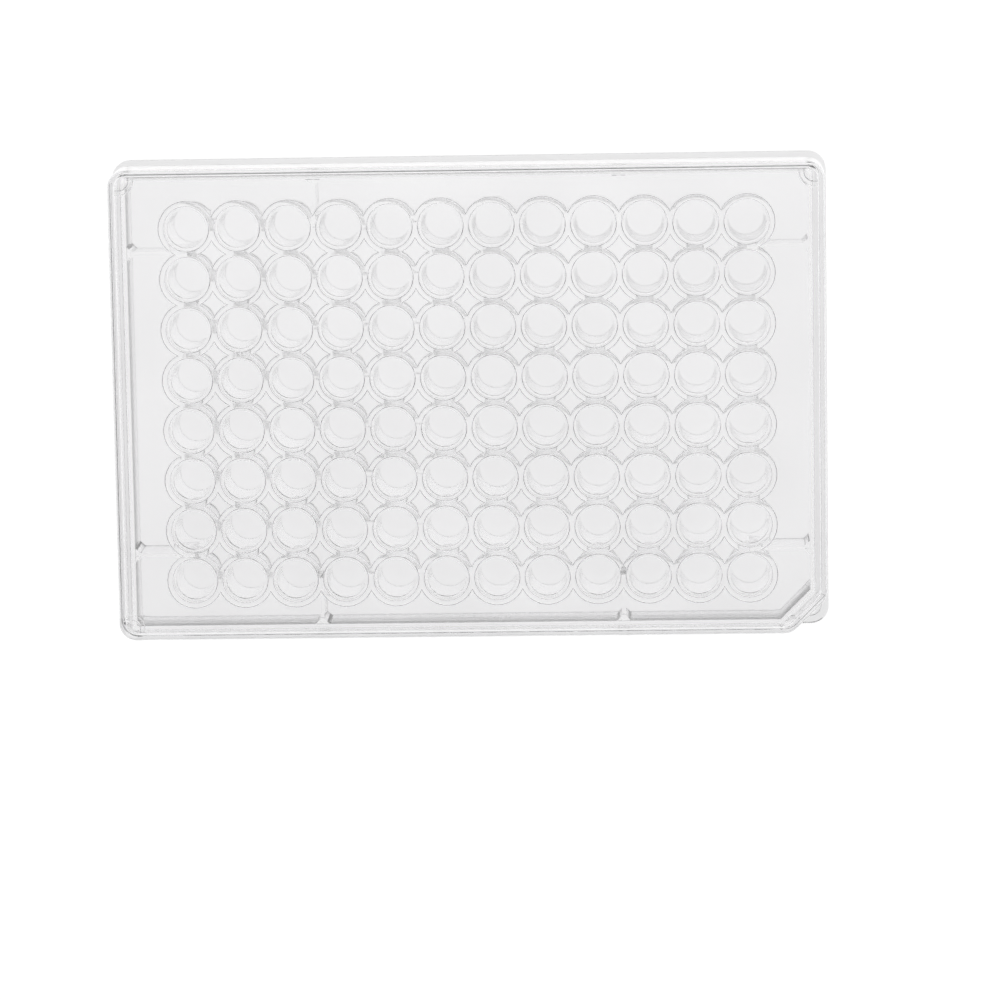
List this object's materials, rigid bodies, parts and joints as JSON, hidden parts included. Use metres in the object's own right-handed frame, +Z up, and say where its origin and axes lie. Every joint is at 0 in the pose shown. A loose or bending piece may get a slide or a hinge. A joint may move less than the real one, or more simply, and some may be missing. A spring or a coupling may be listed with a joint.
{
  "type": "well plate",
  "caption": "Clear rectangular microplate with a grid of round flat-bottomed wells, under a loose clear lid whose underside has a network of condensation rings.",
  "frame": {"origin": "middle of the footprint, on the surface that the plate stands on", "axes": "+Z up, +X along the long side from column 1 to column 12, +Y towards row A; well A1 and the cut corner are at -X, +Y"},
  "size_m": [0.1278, 0.0854, 0.0165],
  "materials": {
    "plate_plastic": "clear moulded polystyrene, glossy",
    "lid_plastic": "clear moulded polystyrene, glossy"
  },
  "bodies": {
    "root": {"plate": "plate_plastic", "lid": "lid_plastic"}
  },
  "joints": []
}
